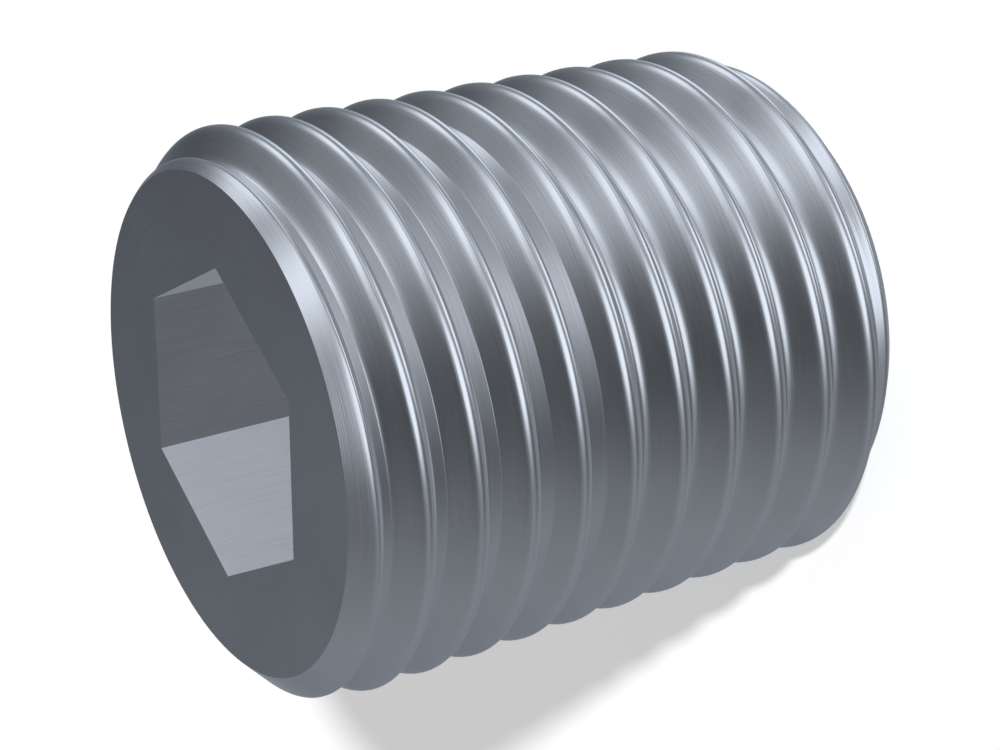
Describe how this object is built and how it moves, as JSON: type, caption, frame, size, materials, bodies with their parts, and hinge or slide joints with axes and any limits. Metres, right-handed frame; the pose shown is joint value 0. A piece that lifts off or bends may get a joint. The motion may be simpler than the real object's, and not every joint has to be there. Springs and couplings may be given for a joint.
{
  "type": "hex socket plug",
  "caption": "Headless steel plug with a tapered outside thread over its whole length and a hexagonal key socket in its large end.",
  "frame": {"origin": "centre of the small end face, which the plug stands on", "axes": "+Z along the plug's axis, from the small end up to the socket end; a corner of the hexagon lies on +X"},
  "size_m": [0.014, 0.014, 0.0158],
  "materials": {
    "plain_steel": "smooth turned steel with a blue-grey cast"
  },
  "bodies": {
    "root": {"plug_body": "plain_steel"}
  },
  "joints": []
}
